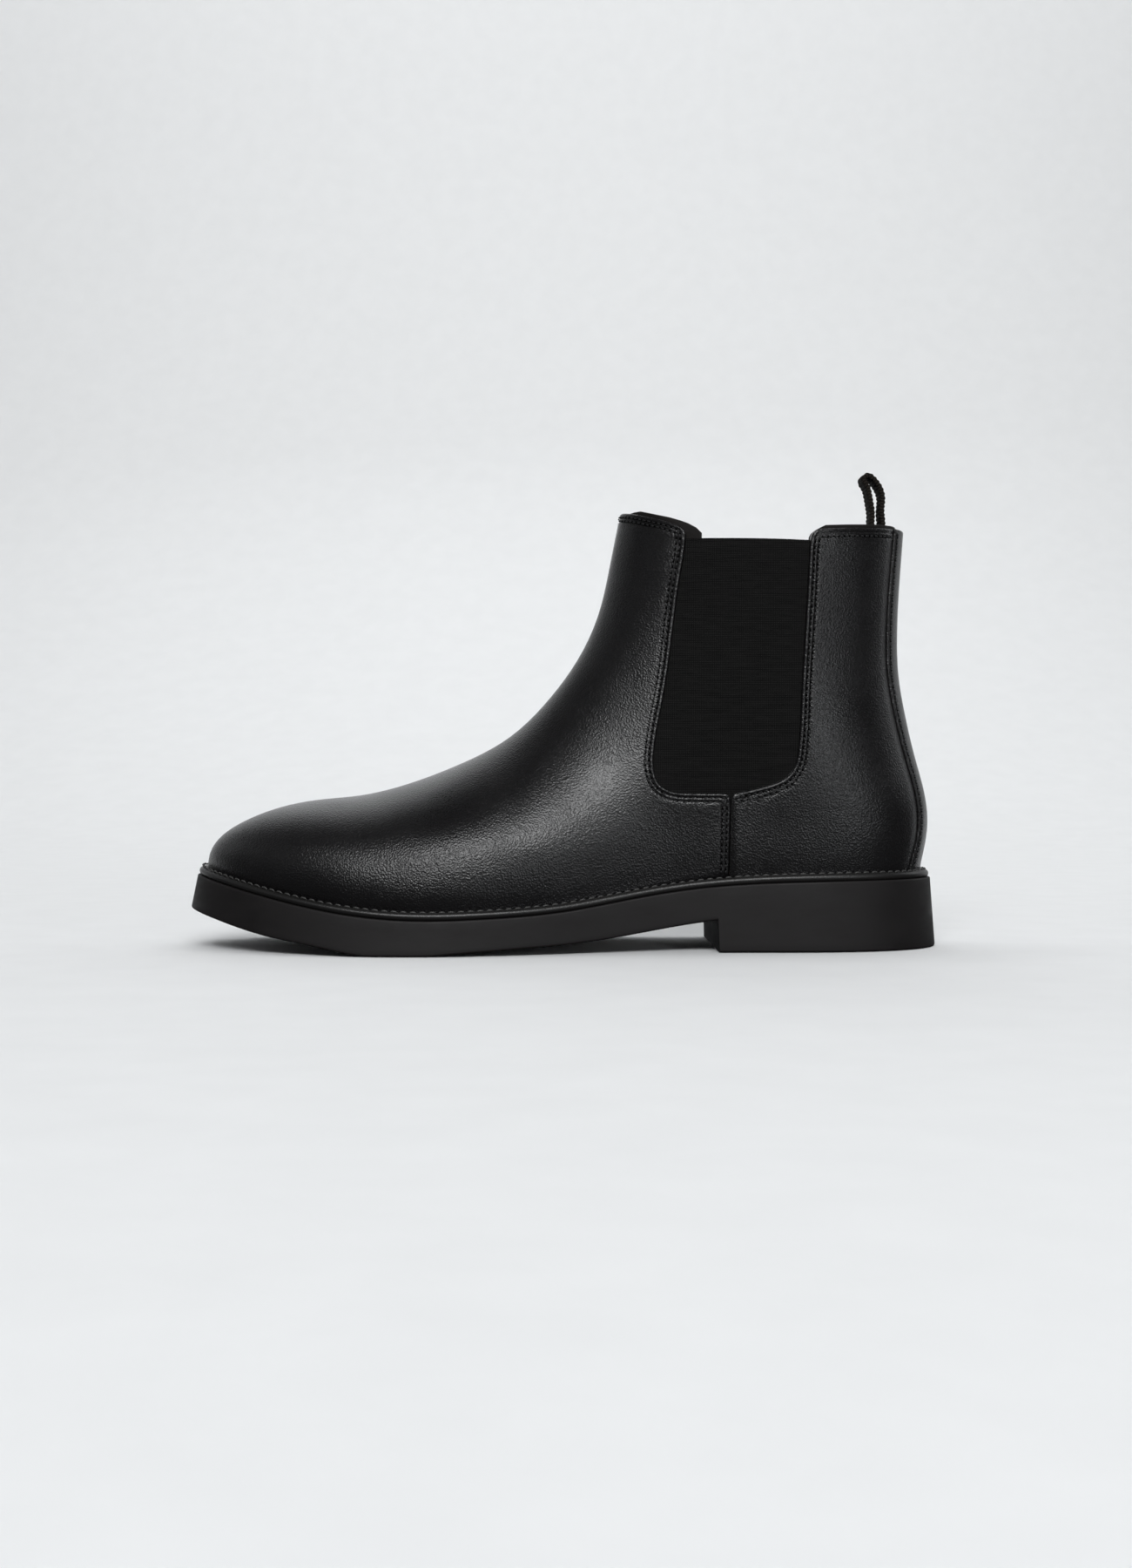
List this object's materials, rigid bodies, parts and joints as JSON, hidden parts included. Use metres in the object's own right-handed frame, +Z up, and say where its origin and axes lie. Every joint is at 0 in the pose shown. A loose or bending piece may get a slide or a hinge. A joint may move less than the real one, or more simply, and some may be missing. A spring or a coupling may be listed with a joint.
{
  "type": "chelsea boot",
  "caption": "Left ankle boot with elastic side gussets, a rear pull loop, a storm welt and a moulded rubber sole with a low heel.",
  "frame": {"origin": "on the ground, in the middle of the bounding box's footprint", "axes": "+Z up; -X towards the toe, +X towards the heel; -Y towards the outer (lateral) side, +Y towards the inner side"},
  "size_m": [0.3006, 0.1092, 0.1903],
  "materials": {
    "upper_leather": "black semi-matte fine-grained calf leather",
    "lining_leather": "dark matte lining leather",
    "elastic": "near-black fine woven elastic",
    "webbing": "near-black twill webbing tape",
    "sole_rubber": "matte black moulded rubber",
    "welt_strip": "dark waxed welt strip",
    "steel": "plain steel",
    "fibre_board": "raw leather board",
    "backing_cloth": "plain cotton backing cloth",
    "cork": "granulated cork",
    "foam": "dense closed-cell foam"
  },
  "bodies": {
    "boot": {"vamp": "upper_leather", "toe_puff": "fibre_board", "vamp_backer": "backing_cloth", "collar_tape_front": "backing_cloth", "vamp_lining": "lining_leather", "quarter_lateral": "upper_leather", "quarter_lining_lateral": "lining_leather", "quarter_medial": "upper_leather", "quarter_lining_medial": "lining_leather", "heel_counter": "fibre_board", "collar_tape_back": "backing_cloth", "heel_grip": "lining_leather", "backstay": "upper_leather", "gusset_lateral": "elastic", "gusset_medial": "elastic", "pull_loop_tail_1": "webbing", "pull_loop_tail_2": "webbing", "outsole": "sole_rubber", "heel_core": "foam", "heel_nail_1": "steel", "heel_nail_2": "steel", "heel_nail_3": "steel", "heel_nail_4": "steel", "heel_nail_5": "steel", "welt": "welt_strip", "bottom_filler": "cork", "shank": "steel", "heel_pad": "foam", "sock_liner": "lining_leather", "insole_board": "fibre_board"},
    "loop": {"pull_loop": "webbing"}
  },
  "joints": [
    {"name": "pull_loop_fold", "type": "hinge", "parent": "boot", "child": "loop", "pos_m": [0.12697, 0.00276, 0.169], "axis": [0, 1, 0], "range_deg": [-80, 75], "stiffness_Nm_per_rad": 0.004}
  ]
}
